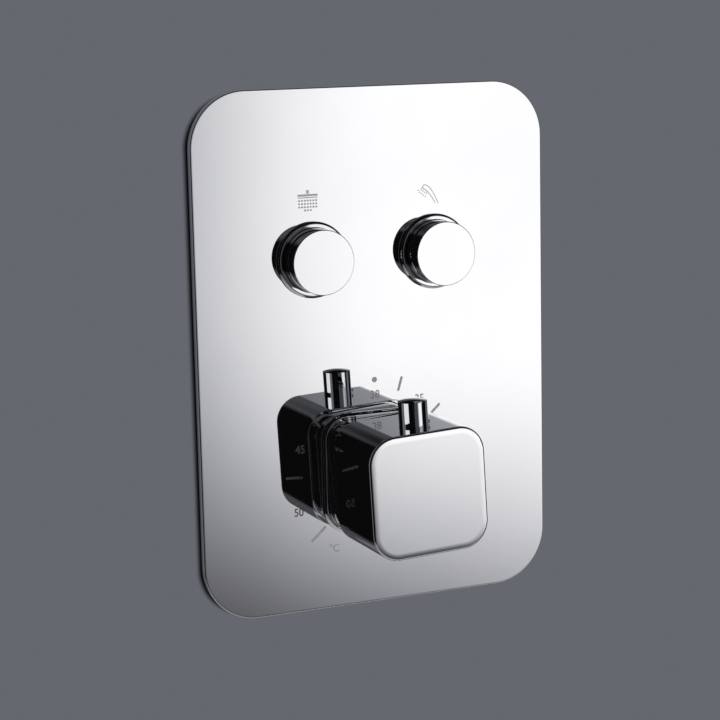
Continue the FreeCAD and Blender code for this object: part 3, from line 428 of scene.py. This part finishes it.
def wall_paint(gasket):
    """A plain glow with the plate's shadow painted on it, clear from behind."""
    paint = bpy.data.materials.new("WallGlowWithPaintedShadow")
    paint.use_nodes = True
    graph = Graph(paint.node_tree)
    output = graph.add("ShaderNodeOutputMaterial")
    geometry = graph.add("ShaderNodeNewGeometry")
    x, _, z = graph.split(geometry.outputs["Position"])
    sides = [graph.math("SUBTRACT", side, shift * MM) for side, shift in zip((x, z), SHADE_SHIFT)]
    away = outline_distance(graph, sides, (gasket[1].x, gasket[1].z - SHADE_TRIM * MM),
                            SHADE_CORNER * MM)
    # Painted shadow: the glow dims towards the plate's outline, mostly on its left.
    shade = graph.ramp(away, SHADE_REACH[0] * MM, SHADE_REACH[1] * MM, SHADE_DARK, 1.0)
    grain = graph.ramp(graph.noise(geometry.outputs["Position"], WALL_GRAIN), *NOISE_SPAN,
                       *WALL_GRAIN_SPAN)
    glow = graph.add("ShaderNodeEmission")
    glow.inputs["Color"].default_value = (*BACKDROP, 1.0)
    graph.put(glow.inputs["Strength"], graph.math("MULTIPLY", shade, grain))
    faces = graph.add("ShaderNodeMixShader")
    graph.put(faces.inputs[0], geometry.outputs["Backfacing"])
    graph.put(faces.inputs[1], glow.outputs[0])
    graph.put(faces.inputs[2], graph.add("ShaderNodeBsdfTransparent").outputs[0])
    graph.put(output.inputs["Surface"], faces.outputs[0])
    return paint


def wall():
    """The finished wall in front of the body: a plain card with a hole, seen from the room alone.

    The camera and the chrome see it, but it neither lights nor shades the part.  Its glow carries a
    painted shadow along the plate's left edge, where the wall darkens in the plate's shadow.
    """
    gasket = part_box("plate_gasket")
    shape = bmesh.new()
    rings = []
    for half_x, half_z in ((WALL_HALF, WALL_HALF),
                           (gasket[1].x - HOLE_INSET * MM, gasket[1].z - HOLE_INSET * MM)):
        rings.append([shape.verts.new((x, WALL_DEPTH * MM, z)) for x, z in (
            (-half_x, -half_z), (half_x, -half_z), (half_x, half_z), (-half_x, half_z))])
    outer, inner = rings
    for index in range(4):
        following = (index + 1) % 4
        shape.faces.new((outer[index], outer[following], inner[following], inner[index]))
    mesh = finished("Wall", shape)
    mesh.materials.append(wall_paint(gasket))
    card = placed("Wall", mesh)
    card.visible_diffuse = False
    card.visible_transmission = False
    card.visible_shadow = False


# ---------------------------------------------------------------- lights
PEG_CARD_SIDE = 0.6
PEG_CARD_PLACE = (-0.5, -0.05, -0.12)
PEG_CARD_AIM = (1.0, 0.0, 0.2)
PEG_CARD_LEVEL = 0.85       # how bright its face is


def area_lamp(name, place, aim, size, power):
    """A square lamp that shines along aim; place and size are in metres, power in watts."""
    light = bpy.data.lights.new(name, "AREA")
    light.shape = "SQUARE"
    light.size = size
    light.energy = power
    holder = placed(name, light)
    holder.location = place
    holder.rotation_mode = "QUATERNION"
    holder.rotation_quaternion = aim.to_track_quat("-Z", "Y")
    return holder


def lamp(name, place, size, power):
    """A soft lamp aimed at the part; mirrors see the world's soft boxes instead."""
    area_lamp(name, place, -Vector(place), size, power).visible_glossy = False


def peg_card():
    """A white card to the left that only the override peg mirrors, as its bright stripe."""
    power = PEG_CARD_LEVEL * math.pi * PEG_CARD_SIDE ** 2
    card = area_lamp("PegCard", PEG_CARD_PLACE, Vector(PEG_CARD_AIM), PEG_CARD_SIDE, power)
    receivers = bpy.data.collections.new("PegOnly")
    receivers.objects.link(nodes["override_button"])
    card.light_linking.receiver_collection = receivers


SLANT_START = 28.0          # the azimuth at which a slanted box has its stated elevations
LEAN = 0.38                 # how far right the main box's sides go for each degree up
DIMMEST = 0.003
COOL, WARM = (0.95, 0.955, 1.04), (0.99, 0.985, 0.995)      # the tints of dim and of bright parts


def soft_box(graph, azimuth, elevation, across, up, level, slant=0.0):
    """How bright a soft-edged box is in each direction.

    across and up are four angles in degrees: where the box begins, is full, is still full and ends.
    """
    height = graph.math("ADD", elevation, graph.math(
        "MULTIPLY", graph.math("SUBTRACT", azimuth, SLANT_START), slant))
    total = level
    for angle, ends in ((azimuth, across), (height, up)):
        total = graph.math("MULTIPLY", graph.ramp(angle, ends[0], ends[1]), total)
        total = graph.math("MULTIPLY", graph.ramp(angle, ends[2], ends[3], 1.0, 0.0), total)
    return total


def studio():
    """Soft boxes in a dark studio, against the photograph's plain grey."""
    world = bpy.data.worlds.new("Studio")
    bpy.context.scene.world = world
    world.use_nodes = True
    graph = Graph(world.node_tree)
    output = graph.add("ShaderNodeOutputWorld")
    x, y, z = graph.split(graph.add("ShaderNodeTexCoord").outputs["Generated"])
    turn = graph.math("ARCTAN2", x, graph.math("MULTIPLY", y, -1.0))
    azimuth = graph.math("MULTIPLY", turn, 180 / math.pi)
    elevation = graph.math("MULTIPLY", graph.math("ARCSINE", z), 180 / math.pi)
    leaning = graph.math("SUBTRACT", azimuth, graph.math(
        "MULTIPLY", graph.math("MAXIMUM", elevation, 0.0), LEAN))
    total = DIMMEST
    for box in (
            soft_box(graph, leaning, elevation, across=(12.5, 24.5, 43, 52),
                     up=(-21, -9.4, -2, 26), level=1.0, slant=0.22),
            soft_box(graph, azimuth, elevation, across=(-16, -8, 40, 50),
                     up=(-60, -45, 22, 28), level=0.06),
            soft_box(graph, azimuth, elevation, across=(-178, -165, -145, -135),
                     up=(22, 35, 60, 75), level=0.8)):
        total = graph.math("ADD", box, total)
    lit = graph.add("ShaderNodeBackground")
    graph.put(lit.inputs["Color"], graph.colours(graph.ramp(total, 0.0, 1.0), COOL, WARM))
    graph.put(lit.inputs["Strength"], total)
    plain = graph.add("ShaderNodeBackground")
    plain.inputs["Color"].default_value = (*BACKDROP, 1.0)
    seen = graph.add("ShaderNodeMixShader")
    graph.put(seen.inputs[0], graph.add("ShaderNodeLightPath").outputs["Is Camera Ray"])
    graph.put(seen.inputs[1], lit.outputs[0])
    graph.put(seen.inputs[2], plain.outputs[0])
    graph.put(output.inputs["Surface"], seen.outputs[0])


floor()
wall()
peg_card()
studio()
lamp("Key", (0.5, -0.9, 0.7), size=0.6, power=12.0)
lamp("Fill", (-0.8, -0.5, 0.3), size=0.8, power=5.0)
lamp("Back", (-0.3, 0.9, 0.6), size=0.6, power=12.0)


# ---------------------------------------------------------------- camera
CAMERA_PLACE = (-0.33361, -0.76570, 0.13920)                # in metres
CAMERA_TURNS = (0.405346, -0.171518, -0.021883)             # yaw, pitch and roll, in radians
SENSOR = 36.0
FOCAL_PIXELS, PICTURE_PIXELS = 2046.0, 720.0


def camera():
    """The photograph's view, as fitted to the plate, the buttons, the handle and the dial."""
    yaw, pitch, roll = CAMERA_TURNS
    forward = Vector((math.sin(yaw) * math.cos(pitch), math.cos(yaw) * math.cos(pitch),
                      math.sin(pitch)))
    level = Vector((math.cos(yaw), -math.sin(yaw), 0.0))
    upright = level.cross(forward)
    right = math.cos(roll) * level + math.sin(roll) * upright
    up = -math.sin(roll) * level + math.cos(roll) * upright
    data = bpy.data.cameras.new("Camera")
    data.sensor_width = SENSOR
    data.lens = FOCAL_PIXELS * SENSOR / PICTURE_PIXELS
    data.clip_start = 0.01
    data.clip_end = 50.0
    holder = placed("Camera", data)
    axes = Matrix((right, up, -forward)).transposed().to_4x4()
    holder.matrix_world = Matrix.Translation(CAMERA_PLACE) @ axes
    bpy.context.scene.camera = holder


camera()
bpy.context.scene.view_settings.view_transform = "Standard"
